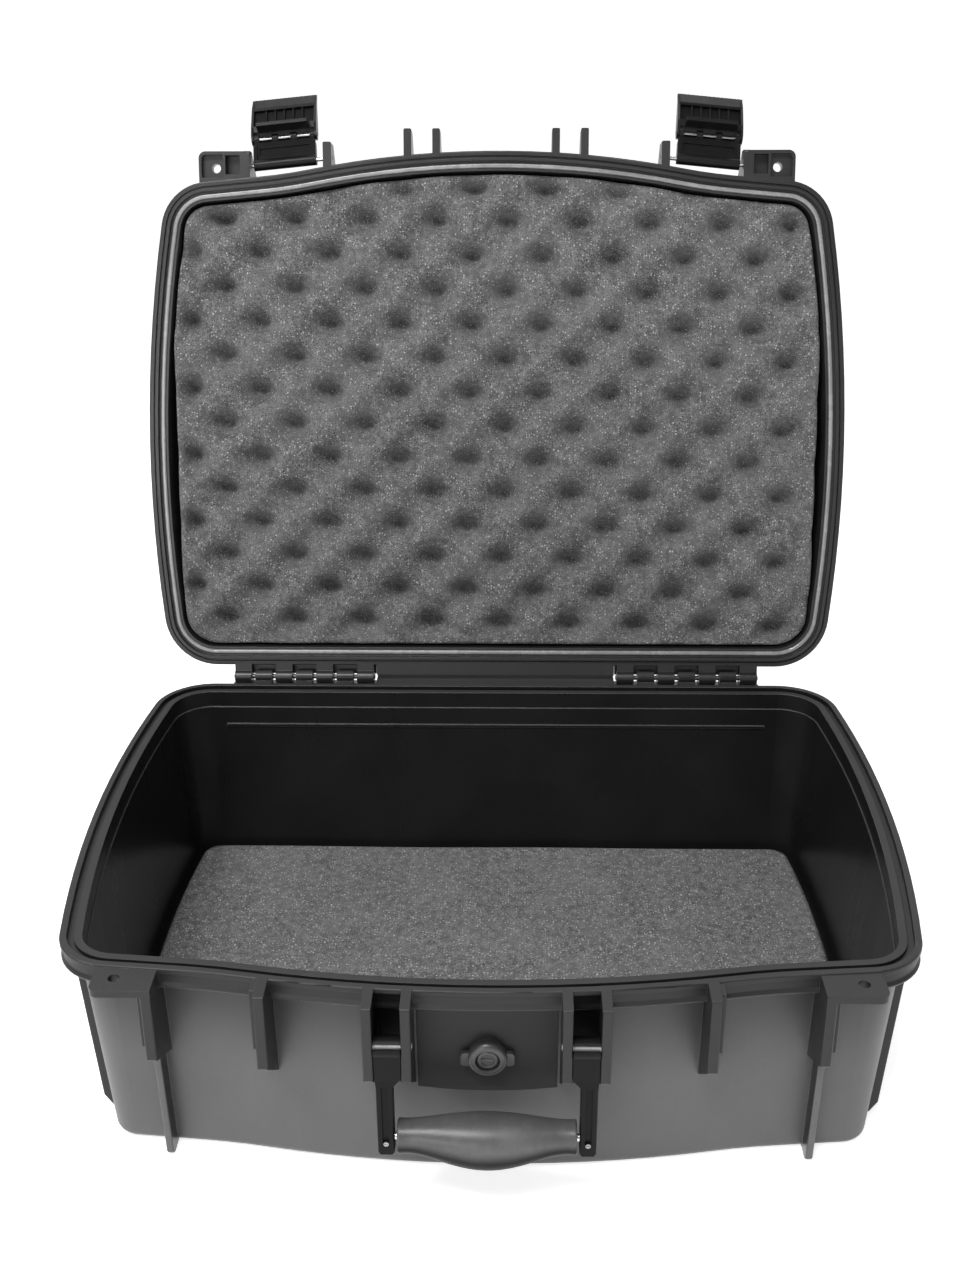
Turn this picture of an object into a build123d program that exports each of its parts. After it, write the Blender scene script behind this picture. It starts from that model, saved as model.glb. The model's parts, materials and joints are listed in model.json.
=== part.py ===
"""A hard equipment case, open: moulded base and lid, two snap-over latches, a bail handle,
a purge valve and foam pads.

Frame: origin at the centre of the base's underside, +X to the right, +Y to the hinge side, +Z up.
Millimetres.
The lid and latches are drawn closed, then turned to the open rest pose about their own pins.
"""
from build123d import *
import os
from math import asin, cos, degrees, radians, sin, sqrt, tan

# ---- driving dimensions ----
HALF_WIDTH = 260.0        # rim, at its widest
HALF_DEPTH = 190.0        # rim, from the middle to the rear edge and to the front bulge
RIM_Z = 140.0             # parting plane, above the floor
LID_HEIGHT = 45.0         # above the parting plane
SKIRT = 13.0              # height of the base's rim flange
LID_SKIRT = 12.0
FLANGE_SINK = 1.4         # how far the base flange's face lies behind its lips
OVERHANG = 10.4           # how far the flange stands out from the wall
WALL = 3.6
FLOOR = 3.0
DRAFT = 4.0               # degrees, both shells
PARTING_GAP = 0.3
LID_FOAM_HALF_WIDTH = 239.5
OPEN_ANGLE = 103.5        # lid, from closed to its stop

# ---- rim outline in plan ----
SIDE_R = 1040.0           # barrel curve of each side
SIDE_WIDEST_Y = 38.0
BULGE_R = 735.0           # convex front bulge
BULGE_END_X = 135.0
SWEEP_R = 400.0           # concave run-out of the bulge
SWEEP_END_SLOPE = 0.09
FRONT_CORNER_R = 36.0
REAR_CORNER_R = 40.0

# ---- rim section, measured inwards from the rim's outer edge ----
GROOVE = (4.2, 8.2)
GROOVE_DEPTH = 4.0
TONGUE = (5.1, 7.3)
TONGUE_HEIGHT = 3.0
SEAL_GROOVE = (8.7, 12.3)
SEAL_GROOVE_DEPTH = 3.2
SEAL_STAND = 1.2          # the seal stands out this far, and the lip that it meets is this much lower
LID_RELIEF = (3.3, 5.1)   # shallow step outside the tongue
CAVITY_TOP_INSET = 12.9
CAVITY_INSET = 14.0
LEDGE_DROP = 13.5

# ---- hinges ----
HINGE_Y = HALF_DEPTH + 9.2
HINGE_Z = RIM_Z + 1.5
HINGE_START_X = 92.0
KNUCKLES = 7
KNUCKLE_PITCH = 15.7
KNUCKLE_LENGTH = 12.9
KNUCKLE_R = 4.8
HINGE_PIN_R = 1.75
RUNNING = 0.08            # radial clearance of a turning fit
SEATED = 0.02             # radial clearance of a still fit

# ---- front ribs ----
BRACKET_FRONT_Y = -205.5
BRACKET_RIBS = ((40.5, 46.1), (61.3, 66.9))
RIB_FRONT_BOTTOM = 92.0
RIB_WALL_BOTTOM = 65.0
LATCH_RIB = (119.5, 125.6)
LATCH_RIB_FRONT_Y = -196.5
CORNER_RIB = (182.0, 188.0)
TAB_OUTER_X = 216.0
TAB_FRONT_Y = -190.0
TAB_HOLE = (204.0, -178.5)
TAB_HOLE_R = 3.3

# ---- handle ----
HANDLE_PIVOT = (-200.0, 112.0)   # y, z
HANDLE_PIN_R = 2.0
GRIP_DROP = 61.8          # from the pivot to the rod
ARM_DROP = 72.6
ARM_CENTRE_X = 53.7
ARM_HEAD_HALF = 7.3
SHANK_X = 55.8            # the shank stands a little outside the head's middle
SHANK_HALF = 4.7
GRIP_HALF_LENGTH = 49.6
GRIP_R_MID = 15.8
GRIP_R_END = 9.8
GRIP_BOW = 3.0            # how far the grip's middle hangs below its ends
ROD_R = 2.15
SCREW_DROP = 2.7          # each lock screw crosses under the rod, in a notch of it
SCREW_R = 0.9

# ---- latches, in each latch's own frame: x along the rim, -y outwards, z up from the parting plane ----
LATCH_X = 153.3
LATCH_TURN = 5.5          # degrees, follows the curve of the front
LINK_PIN = (-8.5, 10.5)   # y, z of the pin in the lid's lugs
LINK_LENGTH = 22.5
LEVER_LENGTH = 41.0
LATCH_PIN_R = 1.5
LINK_HALF_WIDTH = 23.0
LEVER_HALF_WIDTH = 24.2
LATCH_OPEN = 120.0        # link, from closed to its stop

# ---- valve ----
VALVE_Z = 84.4
POCKET_HALF_WIDTH = 39.4
POCKET_Y = -171.6
POCKET_LOW = 68.0
BOSS_R = 11.2
BOSS_HEIGHT = 1.6
VALVE_SEAT_Y = POCKET_Y - BOSS_HEIGHT
VALVE_BORE_R = 6.5
WALL_AT_VALVE = WALL + BOSS_HEIGHT    # from the boss's seat to the wall's inner face


def side_x(y):
    """Half width of the rim's side curve at y."""
    return HALF_WIDTH - SIDE_R + sqrt(SIDE_R**2 - (y - SIDE_WIDEST_Y) ** 2)


BULGE_CENTRE_Y = BULGE_R - HALF_DEPTH
BULGE_ANGLE = asin(BULGE_END_X / BULGE_R)
BULGE_END_Y = BULGE_CENTRE_Y - BULGE_R * cos(BULGE_ANGLE)
SWEEP_ANGLE = asin(SWEEP_END_SLOPE)
SWEEP_CENTRE = (BULGE_END_X + SWEEP_R * sin(BULGE_ANGLE), BULGE_END_Y - SWEEP_R * cos(BULGE_ANGLE))


def sweep_point(angle):
    """Point on the concave run-out where the outline's slope is angle."""
    return (SWEEP_CENTRE[0] - SWEEP_R * sin(angle), SWEEP_CENTRE[1] + SWEEP_R * cos(angle))


SWEEP_END = sweep_point(SWEEP_ANGLE)


def front_y(x):
    """The rim's front edge at x."""
    x = abs(x)
    if x <= BULGE_END_X:
        return BULGE_CENTRE_Y - sqrt(BULGE_R**2 - x**2)
    if x <= SWEEP_END[0]:
        return SWEEP_CENTRE[1] + sqrt(SWEEP_R**2 - (SWEEP_CENTRE[0] - x) ** 2)
    return SWEEP_END[1] + (x - SWEEP_END[0]) * tan(SWEEP_ANGLE)


def rim_face():
    """The rim's outline as a face at z 0."""
    corner_x = HALF_WIDTH
    for _ in range(8):
        corner_x = side_x(front_y(corner_x))
    corner = (corner_x, front_y(corner_x))
    rear = (side_x(HALF_DEPTH), HALF_DEPTH)
    bulge_end = (BULGE_END_X, BULGE_END_Y)
    sweep_mid = sweep_point((BULGE_ANGLE + SWEEP_ANGLE) / 2)

    def flip(point):
        return (-point[0], point[1])

    edges = Curve() + [
        Line(rear, flip(rear)),
        ThreePointArc(flip(rear), (-HALF_WIDTH, SIDE_WIDEST_Y), flip(corner)),
        Line(flip(corner), flip(SWEEP_END)),
        ThreePointArc(flip(SWEEP_END), flip(sweep_mid), flip(bulge_end)),
        ThreePointArc(flip(bulge_end), (0, -HALF_DEPTH), bulge_end),
        ThreePointArc(bulge_end, sweep_mid, SWEEP_END),
        Line(SWEEP_END, corner),
        ThreePointArc(corner, (HALF_WIDTH, SIDE_WIDEST_Y), rear),
    ]
    face = make_face(edges)
    by_y = face.vertices().sort_by(Axis.Y)
    rear_corners = by_y[-2:]
    face = fillet(rear_corners, REAR_CORNER_R)
    by_distance = sorted(face.vertices(), key=lambda v: abs(abs(v.X) - corner[0]) + abs(v.Y - corner[1]))
    front_corners = by_distance[:2]
    return fillet(front_corners, FRONT_CORNER_R)


RIM_FACE = rim_face()


def outline(inset, z):
    """The rim's outline moved inwards by inset, at height z."""
    face = RIM_FACE if inset == 0 else offset(RIM_FACE, amount=-inset, kind=Kind.INTERSECTION)
    return Pos(0, 0, z) * face


def plate(inset, low, high):
    """A slab with the rim's outline, inset, from z low to z high."""
    return extrude(outline(inset, low), high - low)


def ring(outer, inner, low, high):
    """A band between two insets, from z low to z high."""
    return plate(outer, low, high) - plate(inner, low, high)


def drafted(low_inset, low, high_inset, high):
    """A block with drafted sides."""
    return loft([outline(low_inset, low), outline(high_inset, high)], ruled=True)


def at_z(shape, z):
    """The edges of shape that lie flat at height z."""
    return shape.edges().filter_by_position(Axis.Z, z - 0.01, z + 0.01)


def profile_yz(points, x0, x1):
    """A (y, z) polygon run along X from x0 to x1."""
    wire = Polyline(*[(x0, y, z) for y, z in points], close=True)
    return extrude(make_face(wire), x1 - x0, dir=(1, 0, 0))


def rod_x(x0, x1, y, z, r):
    """A round bar along X."""
    return Pos((x0 + x1) / 2, y, z) * Rot(0, 90, 0) * Cylinder(r, x1 - x0)


def both_sides(shape):
    """shape and its mirror image across the YZ plane."""
    return [shape, mirror(shape, Plane.YZ)]


def front_rib(x0, x1, front, top, front_bottom, wall_bottom, soft=1.0):
    """An upright rib on the front wall, whose foot slopes back to the wall."""
    wall_y = front_y((x0 + x1) / 2) + OVERHANG + (RIM_Z - wall_bottom) * tan(radians(DRAFT))
    points = [(-140, top), (front, top), (front, front_bottom), (wall_y, wall_bottom), (-140, wall_bottom)]
    rib = profile_yz(points, x0, x1)
    exposed = [e for e in rib.edges() if e.center().Y < front + 1.0]
    return fillet(exposed, soft)


def skirt_bottom():
    return RIM_Z - SKIRT


def wall_inset(z):
    """Inset of the base's outer wall at height z."""
    return OVERHANG + (skirt_bottom() - z) * tan(radians(DRAFT))


# ---------------------------------------------------------------- base

def base_front_ribs():
    ribs = []
    for x0, x1 in BRACKET_RIBS:
        ribs.append(front_rib(x0, x1, BRACKET_FRONT_Y, RIM_Z, RIB_FRONT_BOTTOM, RIB_WALL_BOTTOM))
    ribs.append(front_rib(*LATCH_RIB, LATCH_RIB_FRONT_Y, RIM_Z, RIB_FRONT_BOTTOM, RIB_WALL_BOTTOM))
    # lower lip beside the latch rib, on the latch's side
    ribs.append(front_rib(LATCH_RIB[1] - 0.5, LATCH_RIB[1] + 3.0, -189.0, RIM_Z - 1, RIB_FRONT_BOTTOM + 8,
                          RIB_WALL_BOTTOM + 12, 0.8))
    # corner rib, with its lip on the outer side
    ribs.append(front_rib(*CORNER_RIB, TAB_FRONT_Y, RIM_Z - 1, RIB_FRONT_BOTTOM, RIB_WALL_BOTTOM + 8))
    ribs.append(front_rib(CORNER_RIB[1] - 0.5, CORNER_RIB[1] + 4.0, -182.0, RIM_Z - 3, RIB_FRONT_BOTTOM + 3,
                          RIB_WALL_BOTTOM + 18, 0.8))
    # thin foot rib that carries on to the floor
    foot_top = 87.0
    wall_top_y = front_y(183) + wall_inset(foot_top)
    wall_low_y = front_y(183) + wall_inset(0)
    stand_out = 12.0
    foot = profile_yz([(-150, foot_top), (wall_top_y - stand_out, foot_top), (wall_low_y - stand_out, 3),
                       (wall_low_y - stand_out + 3, 0), (-140, 0), (-140, 10)], 186.0, 190.2)
    ribs.append(fillet([e for e in foot.edges() if e.center().Y < wall_low_y - stand_out + 2.0], 1.2))
    return ribs


def padlock_plate(low, high):
    """The flat tab that takes a padlock, with rounded front corners."""
    x0, x1 = CORNER_RIB[0], TAB_OUTER_X
    slab = Box(x1 - x0, -160 - TAB_FRONT_Y, high - low)
    slab = Pos((x0 + x1) / 2, (TAB_FRONT_Y - 160) / 2, (low + high) / 2) * slab
    corner = slab.edges().filter_by(Axis.Z).group_by(Axis.Y)[0].sort_by(Axis.X)[-1]
    return fillet(corner, 5.0)


def side_ribs():
    """Upright ribs on the side walls, near the corners, from the flange almost to the floor."""
    ribs = []
    for y in (-128.0, 118.0):
        def wall_x(z):
            return side_x(y) - wall_inset(z)

        high = skirt_bottom() + 0.5
        profile = [(225, high), (wall_x(high) + 6, high), (wall_x(16) + 6, 16), (wall_x(9) + 2, 9),
                   (220, 9)]
        wire = Polyline(*[(x, y - 2.2, z) for x, z in profile], close=True)
        rib = extrude(make_face(wire), 4.4, dir=(0, 1, 0))
        exposed = [e for e in rib.edges() if e.center().X > wall_x(9) + 1 and e.center().Z < high - 4]
        ribs.append(fillet(exposed, 1.0))
    return ribs


def hinge_segments(first):
    """x ranges of every other knuckle of the right hinge, from knuckle number first."""
    for i in range(first, KNUCKLES, 2):
        middle = HINGE_START_X + KNUCKLE_PITCH * (i + 0.5)
        yield middle - KNUCKLE_LENGTH / 2, middle + KNUCKLE_LENGTH / 2


def base_hinge():
    """Base knuckles, the shelf between the hinges, the stops under the lid's knuckles and the gussets."""
    inner_y = HALF_DEPTH - 3.5
    parts = []
    arm = [(inner_y, RIM_Z - 12), (HINGE_Y - 1, RIM_Z - 8), (HINGE_Y + KNUCKLE_R, HINGE_Z - 1),
           (HINGE_Y, HINGE_Z), (HINGE_Y - 3, RIM_Z - 0.4), (inner_y, RIM_Z - 0.4)]
    for x0, x1 in hinge_segments(1):
        parts.append(profile_yz(arm, x0, x1) + rod_x(x0, x1, HINGE_Y, HINGE_Z, KNUCKLE_R))
    # the lid's knuckle blocks come to rest on this shelf
    slope = tan(radians(OPEN_ANGLE - 90))
    stop_drop = KNUCKLE_R / sin(radians(OPEN_ANGLE)) + 0.25
    stop = [(y, HINGE_Z - stop_drop - (y - HINGE_Y) * slope) for y in (208.5, 196.5)]
    hinge_end = HINGE_START_X + KNUCKLE_PITCH * KNUCKLES
    low = skirt_bottom()
    shelf = [(inner_y, low), (205, low), (208.5, low + 3)] + stop + [(inner_y, RIM_Z - 6)]
    parts.append(profile_yz(shelf, HINGE_START_X, hinge_end))
    gusset = [(165, low + 4), (206, low + 4), (206, low - 6), (177, low - 54), (165, low - 54)]
    for x in (HINGE_START_X + 1.4, hinge_end - 5.9):
        parts.append(profile_yz(gusset, x, x + 4.5))
    beam = [(inner_y, low), (202, low), (211, low + 6.5), (211, RIM_Z - 1.2), (209.5, RIM_Z - 0.6),
            (inner_y, RIM_Z - 0.6)]
    parts.append(profile_yz(beam, 0, HINGE_START_X - 0.8))
    return parts


def rear_corner_ribs():
    """Thin upright ribs on the rear wall, like the front foot ribs."""
    wall_low_y = HALF_DEPTH - wall_inset(0)
    rib = [(150, 112), (191, 112), (wall_low_y + 11, 3), (wall_low_y + 8, 0), (150, 0)]
    rib = profile_yz(rib, 212, 216.5)
    return fillet([e for e in rib.edges() if e.center().Y > wall_low_y + 9.5], 1.2)


def valve_pocket():
    """The shallow pocket in the front wall, between the handle brackets."""
    points = [(-200, skirt_bottom()), (POCKET_Y, skirt_bottom()), (POCKET_Y, POCKET_LOW),
              (POCKET_Y - 8, POCKET_LOW - 17), (-200, POCKET_LOW - 17)]
    pocket = profile_yz(points, -POCKET_HALF_WIDTH, POCKET_HALF_WIDTH)
    run_out = [e for e in pocket.edges().filter_by(Axis.X) if abs(e.center().Z - POCKET_LOW) < 0.01]
    return fillet(run_out, 24.0)


def base_cavity():
    """The hollow of the base, less the back of the valve pocket."""
    ledge_z = RIM_Z - LEDGE_DROP
    low_inset = CAVITY_INSET + (ledge_z - FLOOR) * tan(radians(DRAFT))
    low = drafted(low_inset, FLOOR, CAVITY_INSET, ledge_z)
    low = fillet(at_z(low, FLOOR), 4.0)
    top = drafted(CAVITY_TOP_INSET + 0.3, ledge_z, CAVITY_TOP_INSET, RIM_Z + 1)
    back = [(-190, ledge_z), (POCKET_Y + WALL, ledge_z), (POCKET_Y + WALL, POCKET_LOW - 2),
            (POCKET_Y - 6, POCKET_LOW - 22), (-190, POCKET_LOW - 22)]
    back = profile_yz(back, -POCKET_HALF_WIDTH - WALL, POCKET_HALF_WIDTH + WALL)
    rear_bead = Pos(0, 176.4, RIM_Z - 28.0) * Box(410, 5, 2.2)
    return (low + top) - back - rear_bead


def base_flange():
    """The base's rim flange, its face sunk between a lip along the top and a lip along the bottom."""
    low = skirt_bottom()
    lip_top, face_low = low + 1.9, low + 3.7
    face_top = RIM_Z - 3.2
    rim = plate(0, low, lip_top)
    rim = fillet(at_z(rim, low), 1.5)
    rim += drafted(0, lip_top, FLANGE_SINK, face_low)
    rim += plate(FLANGE_SINK, face_low, face_top)
    top = fillet(at_z(plate(0, face_top, RIM_Z), RIM_Z), 1.0)
    return rim + top


def make_base_shell():
    wall = drafted(wall_inset(0), 0, OVERHANG, skirt_bottom() + 1)
    wall = fillet(at_z(wall, 0), 6.0)
    shell = wall + base_flange()
    features = base_front_ribs() + side_ribs() + base_hinge()
    features += [padlock_plate(RIM_Z - 5.5, RIM_Z - 1), rear_corner_ribs()]
    for feature in features:
        shell = shell + both_sides(feature)
    shell -= valve_pocket()
    boss = Rot(90, 0, 0) * Cylinder(BOSS_R, BOSS_HEIGHT + 0.5)
    shell += Pos(0, (POCKET_Y + VALVE_SEAT_Y + 0.5) / 2, VALVE_Z) * boss
    shell -= base_cavity()
    shell -= ring(*GROOVE, RIM_Z - GROOVE_DEPTH, RIM_Z + 1)
    shell -= plate(GROOVE[1] - 0.1, RIM_Z - SEAL_STAND, RIM_Z + 1)
    shell -= Pos(0, POCKET_Y, VALVE_Z) * Rot(90, 0, 0) * Cylinder(VALVE_BORE_R + SEATED, 40)
    holes = [rod_x(38, 69, *HANDLE_PIVOT, HANDLE_PIN_R + SEATED),
             rod_x(HINGE_START_X - 1, HINGE_START_X + KNUCKLE_PITCH * KNUCKLES + 1, HINGE_Y, HINGE_Z,
                   HINGE_PIN_R + SEATED),
             Pos(*TAB_HOLE, RIM_Z - 3) * Cylinder(TAB_HOLE_R, 12)]
    for hole in holes:
        shell -= both_sides(hole)
    return shell


def make_hinge_pin(side):
    x0 = HINGE_START_X + 0.4
    x1 = HINGE_START_X + KNUCKLE_PITCH * KNUCKLES - 0.4
    pin = rod_x(x0, x1, HINGE_Y, HINGE_Z, HINGE_PIN_R)
    pin = chamfer(pin.edges().filter_by(GeomType.CIRCLE), 0.4)
    return pin if side > 0 else mirror(pin, Plane.YZ)


def make_base_foam():
    """Floor pad: a little smaller than the floor, so that it lifts out."""
    top = RIM_Z - 127.0
    inset = CAVITY_INSET + (RIM_Z - LEDGE_DROP - FLOOR) * tan(radians(DRAFT)) + 4.8
    return extrude(outline(inset, FLOOR + 0.1), top - FLOOR - 0.1)


# ---------------------------------------------------------------- lid, drawn closed

LID_BOTTOM = RIM_Z + PARTING_GAP
LID_TOP = RIM_Z + LID_HEIGHT


def lid_rib(x0, x1, front):
    """A rib on the lid's front wall, in line with one on the base."""
    points = [(-160, LID_BOTTOM), (front, LID_BOTTOM), (front, RIM_Z + 17), (front + 9, RIM_Z + 26),
              (-172, LID_TOP - 7), (-160, LID_TOP - 7)]
    rib = profile_yz(points, x0, x1)
    exposed = [e for e in rib.edges() if e.center().Y < front + 5 and e.center().Z > LID_BOTTOM + 0.5]
    return fillet(exposed, 1.0)


def lid_tab():
    """Padlock tab of the lid: a hollow-backed box, with the latch's outer lug along its inner side."""
    low, high = LID_BOTTOM + 0.2, LID_BOTTOM + 12.4
    box = padlock_plate(low, high)
    lug = [(-160, low), (-188.5, low), (-190.5, low + 3), (-190.5, RIM_Z + 12),
           (-184, RIM_Z + 19), (-172, RIM_Z + 34), (-160, RIM_Z + 34)]
    lug = profile_yz(lug, 178.9, 183.4)
    bridge = Pos(183.4, -176, (low + high) / 2) * Box(4.0, 24, high - low)
    tab = box + lug + bridge
    tab -= Pos(191.4, -180.5, low) * Box(10.4, 13.5, 17.6)
    pad = Pos(206.2, -179.6, low) * Box(15.4, 16.0, 9.0)
    pad = fillet(pad.edges().filter_by(Axis.Z).group_by(Axis.Y)[0].sort_by(Axis.X)[-1], 3.2)
    return tab - pad


def lid_hinge():
    """Lid knuckles with their blocks, and the beam between the hinges."""
    inner_y = HALF_DEPTH - 2
    top = LID_BOTTOM + LID_SKIRT - 1.2
    hinge_end = HINGE_START_X + KNUCKLE_PITCH * KNUCKLES
    shelf = [(inner_y, RIM_Z + 7.6), (198, RIM_Z + 7.6), (198, top - 1.5), (196.5, top), (inner_y, top)]
    parts = [profile_yz(shelf, HINGE_START_X, hinge_end)]
    for x0, x1 in hinge_segments(0):
        block = profile_yz([(inner_y, LID_BOTTOM), (HINGE_Y, LID_BOTTOM), (HINGE_Y + KNUCKLE_R, HINGE_Z),
                            (HINGE_Y + KNUCKLE_R, top), (inner_y, top)], x0, x1)
        parts.append(block + rod_x(x0, x1, HINGE_Y, HINGE_Z, KNUCKLE_R))
    parts.append(profile_yz([(inner_y, LID_BOTTOM), (197.5, LID_BOTTOM), (197.5, top - 3), (194, top),
                             (inner_y, top)], 0, HINGE_START_X - 0.8))
    gusset = [(165, top - 2), (203, top - 2), (203, top), (181, RIM_Z + 34), (165, RIM_Z + 34)]
    for x in (HINGE_START_X + 1.4, hinge_end - 5.9):
        parts.append(profile_yz(gusset, x, x + 4.5))
    return parts


def lid_cavity():
    high = LID_TOP - 4.0
    cut = drafted(CAVITY_INSET, RIM_Z - 1, CAVITY_INSET + (high - RIM_Z) * tan(radians(DRAFT)), high)
    return fillet(at_z(cut, high), 5.0)


def make_lid_closed():
    wall_low = RIM_Z + LID_SKIRT - 1
    top_inset = OVERHANG + (LID_TOP - wall_low) * tan(radians(DRAFT))
    wall = drafted(OVERHANG, wall_low, top_inset, LID_TOP)
    wall = fillet(at_z(wall, LID_TOP), 9.0)
    rim = plate(0, LID_BOTTOM, LID_BOTTOM + LID_SKIRT)
    rim = fillet(at_z(rim, LID_BOTTOM), 0.8)
    rim = fillet(at_z(rim, LID_BOTTOM + LID_SKIRT), 1.5)
    lid = wall + rim
    for x0, x1 in BRACKET_RIBS:
        lid = lid + both_sides(lid_rib(x0, x1, BRACKET_FRONT_Y))
    for feature in [lid_rib(*LATCH_RIB, LATCH_RIB_FRONT_Y), lid_tab()] + lid_hinge():
        lid = lid + both_sides(feature)
    lid -= lid_cavity()
    lid += ring(*TONGUE, RIM_Z - TONGUE_HEIGHT, LID_BOTTOM + 0.5)
    lid -= ring(*LID_RELIEF, LID_BOTTOM - 1, LID_BOTTOM + 1.6)
    lid -= ring(*SEAL_GROOVE, LID_BOTTOM - 1, LID_BOTTOM + SEAL_GROOVE_DEPTH)
    # shallow panel in the lid's top, with stacking ribs left standing in it
    panel = Pos(0, 4, LID_TOP) * extrude(RectangleRounded(380, 250, 26), 1.6, both=True)
    for y in (-70, 0, 70):
        panel -= Pos(0, 4 + y, LID_TOP) * extrude(SlotOverall(300, 9), 2.0, both=True)
    lid -= panel
    lid -= both_sides(rod_x(HINGE_START_X - 1, HINGE_START_X + KNUCKLE_PITCH * KNUCKLES + 1, HINGE_Y, HINGE_Z,
                            HINGE_PIN_R + RUNNING))
    lid -= both_sides(Pos(*TAB_HOLE, RIM_Z + 8) * Cylinder(TAB_HOLE_R, 20))
    for side in (-1, 1):
        lid -= latch_place(side) * rod_x(*sorted((side * -40, side * 29.0)), *LINK_PIN, LATCH_PIN_R + SEATED)
    return lid


def make_seal_closed():
    low, high = LID_BOTTOM - SEAL_STAND - 0.1, LID_BOTTOM + SEAL_GROOVE_DEPTH - 0.1
    seal = ring(SEAL_GROOVE[0] + 0.15, SEAL_GROOVE[1] - 0.15, low, high)
    return fillet(at_z(seal, low), 1.2)


def make_lid_foam_closed():
    """Convoluted pad as a plain block, its sides cut straight."""
    high = LID_TOP - 4.2
    low = RIM_Z + 1.2
    inset = CAVITY_INSET + 2.5
    block = drafted(inset, low, inset + (high - low) * tan(radians(DRAFT)) + 1.5, high)
    return block & Pos(0, 0, RIM_Z) * Box(2 * LID_FOAM_HALF_WIDTH, 2 * HALF_DEPTH, 2 * LID_HEIGHT)


# ---------------------------------------------------------------- latches

def latch_place(side):
    """Location of a latch's own frame, lid closed."""
    return Pos(side * LATCH_X, front_y(LATCH_X), RIM_Z) * Rot(0, 0, side * LATCH_TURN)


LEVER_PIN = (LINK_PIN[0], LINK_PIN[1] - LINK_LENGTH)


def make_link():
    """Bridge between the lid's pin and the lever's pin, closed: it hangs from the lid's pin."""
    half = LINK_HALF_WIDTH
    neck = LEVER_HALF_WIDTH - 2.0
    y1, z1 = LINK_PIN
    y2, z2 = LEVER_PIN
    link = rod_x(-half, half, y1, z1, 3.9)
    link += rod_x(-neck, neck, y2, z2, 3.3)
    link += profile_yz([(y1 - 2.4, z1), (y2 - 2.2, z2), (y2 + 1.8, z2), (y1 + 1.8, z1)], -neck, neck)
    cheek = [(y1 - 3.4, z1), (y1 - 3.4, z2 + 7.0), (y1 + 2.8, z2 + 7.0), (y1 + 3.4, z1)]
    for x0, x1 in ((-half, -half + 3), (half - 3, half)):
        link += profile_yz(cheek, x0, x1)
    # hollow of the inner face, and blind windows that bare the lever's pin
    link -= Pos(0, y1 + 2.4, (z1 + z2) / 2 + 1.5) * Box(2 * half - 9, 3.6, 7.0)
    for x in (-14.0, 0.0, 14.0):
        link -= Pos(x, y2 + 2.7, z2) * Box(9.4, 9.0, 7.4)
    link -= rod_x(-30, 30, y1, z1, LATCH_PIN_R + RUNNING)
    link -= rod_x(-30, 30, y2, z2, LATCH_PIN_R + SEATED)
    return link


def make_lever():
    """Pull lever, closed: cheeks round the link's lower pin, a nose for the flange, a ribbed back."""
    half = LEVER_HALF_WIDTH
    y2, z2 = LEVER_PIN
    bottom = z2 - LEVER_LENGTH
    outer = y2 - 6.4
    face = [(outer, z2 - 4.6), (outer, bottom + 9), (outer - 2.6, bottom), (outer - 0.2, bottom),
            (outer + 2.6, bottom + 9.5), (outer + 2.6, z2 - 4.6)]
    face = profile_yz(face, -half, half)
    cheek = [(outer, z2 - 4.6), (y2 - 4.4, z2), (y2 - 3.4, z2 + 3.0), (y2, z2 + 4.3),
             (y2 + 3.2, z2 + 3.0), (y2 + 4.4, z2), (y2 + 3.6, z2 - 9), (outer + 4.6, bottom + 11),
             (outer, bottom + 1.5), (outer - 2.6, bottom), (outer, bottom + 9)]
    lever = face + profile_yz(cheek, -half, -half + 1.8) + profile_yz(cheek, half - 1.8, half)
    nose = [(outer + 1, z2 - 4.6), (y2 + 3.0, z2 - 4.6), (y2 + 4.8, z2 - 2.2), (y2 + 11.5, z2 - 2.2),
            (y2 + 12.0, z2 - 1.2), (y2 + 14.2, z2 - 1.2), (y2 + 14.6, z2 - 3.8), (y2 + 6.0, z2 - 9.4),
            (outer + 1, z2 - 9.4)]
    lever += profile_yz(nose, -half + 5.5, half - 5.5)
    web = [(outer + 1, z2 - 4.6), (y2 + 3.0, z2 - 4.6), (y2 + 3.8, z2 - 9.4), (outer + 1, z2 - 9.4)]
    lever += profile_yz(web, -half + 1, half - 1)
    # lower bar and stiffening ribs of the hollow back
    bar = [(outer + 1, bottom + 11), (outer + 5.4, bottom + 12), (outer + 5.2, bottom + 14),
           (outer + 1, bottom + 14)]
    lever += profile_yz(bar, -half + 1, half - 1)
    rib = [(outer + 1, z2 - 9), (y2 - 0.4, z2 - 9), (outer + 4.4, bottom + 13), (outer + 1, bottom + 13)]
    for x in (-13.6, -6.8, 0.0, 6.8, 13.6):
        lever += profile_yz(rib, x - 0.7, x + 0.7)
    long_edges = [e for e in lever.edges().filter_by(Axis.X) if e.length > 2 * half - 1]
    tips = [e for e in long_edges if e.center().Y < outer + 0.1]
    lever = fillet(tips, 0.7)
    # finger serrations on the outer face, down to the tip
    ridge = [(outer + 0.5, bottom + 12), (outer - 0.7, bottom + 10), (outer - 3.4, bottom + 0.4),
             (outer - 2.8, bottom - 1.2), (outer - 0.8, bottom - 0.4), (outer + 0.5, bottom + 6)]
    for i in range(-7, 8):
        lever += profile_yz(ridge, i * 3.1 - 0.8, i * 3.1 + 0.8)
    return lever - rod_x(-40, 40, y2, z2, LATCH_PIN_R + RUNNING)


def make_latch_pin(y, z, x0, x1):
    pin = rod_x(x0, x1, y, z, LATCH_PIN_R)
    return chamfer(pin.edges().filter_by(GeomType.CIRCLE), 0.3)


def opened(shape):
    """shape turned with the lid from closed to its open stop."""
    return shape.rotate(Axis((0, HINGE_Y, HINGE_Z), (1, 0, 0)), -OPEN_ANGLE)


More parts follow.
